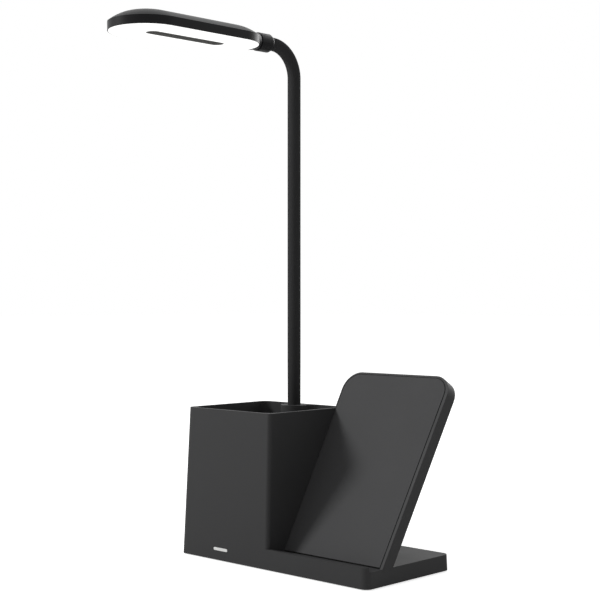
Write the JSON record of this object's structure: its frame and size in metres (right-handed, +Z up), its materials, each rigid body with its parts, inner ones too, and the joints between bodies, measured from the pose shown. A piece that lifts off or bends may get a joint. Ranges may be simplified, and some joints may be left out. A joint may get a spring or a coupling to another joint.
{
  "type": "desk lamp with pen cup and phone charging stand",
  "caption": "Desk lamp on a low base with a square open pen cup and a tilted phone charging panel; a slim arm rises from the cup and bends over to a flat oval LED head.",
  "frame": {"origin": "centre of the non-slip pad's underside, on the table, under the middle of the base", "axes": "+Z up, the way the arm rises; +X to the right, from the pen cup to the phone panel; +Y to the back, so the head points to -Y"},
  "size_m": [0.1942, 0.2007, 0.4023],
  "materials": {
    "housing_plastic": "fine matte, charcoal black",
    "panel_plastic": "fine matte, charcoal black",
    "arm_silicone": "smooth matte black",
    "head_gloss": "glossy black",
    "lens_white": "translucent white, lit",
    "indicator_white": "translucent white",
    "trim_dark": "matte dark grey",
    "steel": "plain steel",
    "pad_rubber": "matte black",
    "board_green": "solder mask",
    "coil_copper": "copper wire",
    "ferrite": "dark ferrite",
    "led_white": "white package"
  },
  "bodies": {
    "base": {"base_housing": "housing_plastic", "bottom_cover": "housing_plastic", "non_slip_pad": "pad_rubber", "cover_screws": "steel", "ballast_plate": "steel", "control_board": "board_green", "board_screws": "steel", "status_led": "led_white", "indicator_lens": "indicator_white", "usb_c_socket": "steel", "socket_board": "board_green", "panel_plate": "panel_plastic", "charging_coil": "coil_copper", "ferrite_sheet": "ferrite", "charger_board": "board_green", "friction_washer": "pad_rubber"},
    "arm": {"foot_nut": "steel", "arm_ferrule": "steel", "arm_core": "steel", "arm_sleeve": "arm_silicone"},
    "neck_1": {"neck_link_1": "arm_silicone"},
    "neck_2": {"neck_link_2": "arm_silicone"},
    "neck_3": {"neck_link_3": "arm_silicone"},
    "head": {"neck_end": "arm_silicone", "neck_collar": "head_gloss", "head_frame": "head_gloss", "head_top": "head_gloss", "lens_ring": "lens_white", "centre_trim": "trim_dark", "led_board": "board_green", "leds": "led_white", "head_screws": "steel"}
  },
  "joints": [
    {"name": "arm_swivel", "type": "hinge", "parent": "base", "child": "arm", "pos_m": [-0.04612, 0.02956, 0.1136], "axis": [0, 0, 1], "range_deg": [-90, 90]},
    {"name": "neck_bend_1", "type": "hinge", "parent": "arm", "child": "neck_1", "pos_m": [-0.04612, 0.02956, 0.3693], "axis": [1, 0, 0], "range_deg": [-18, 9]},
    {"name": "neck_bend_2", "type": "hinge", "parent": "neck_1", "child": "neck_2", "pos_m": [-0.04612, 0.02722, 0.38163], "axis": [1, 0, 0], "range_deg": [-18, 9]},
    {"name": "neck_bend_3", "type": "hinge", "parent": "neck_2", "child": "neck_3", "pos_m": [-0.04612, 0.01906, 0.39114], "axis": [1, 0, 0], "range_deg": [-18, 9]},
    {"name": "neck_bend_4", "type": "hinge", "parent": "neck_3", "child": "head", "pos_m": [-0.04612, 0.00722, 0.39524], "axis": [1, 0, 0], "range_deg": [-18, 9]}
  ],
  "couplings": [
    {"joint": "neck_bend_2", "follows": "neck_bend_1", "ratio": 1},
    {"joint": "neck_bend_3", "follows": "neck_bend_1", "ratio": 1},
    {"joint": "neck_bend_4", "follows": "neck_bend_1", "ratio": 1}
  ]
}
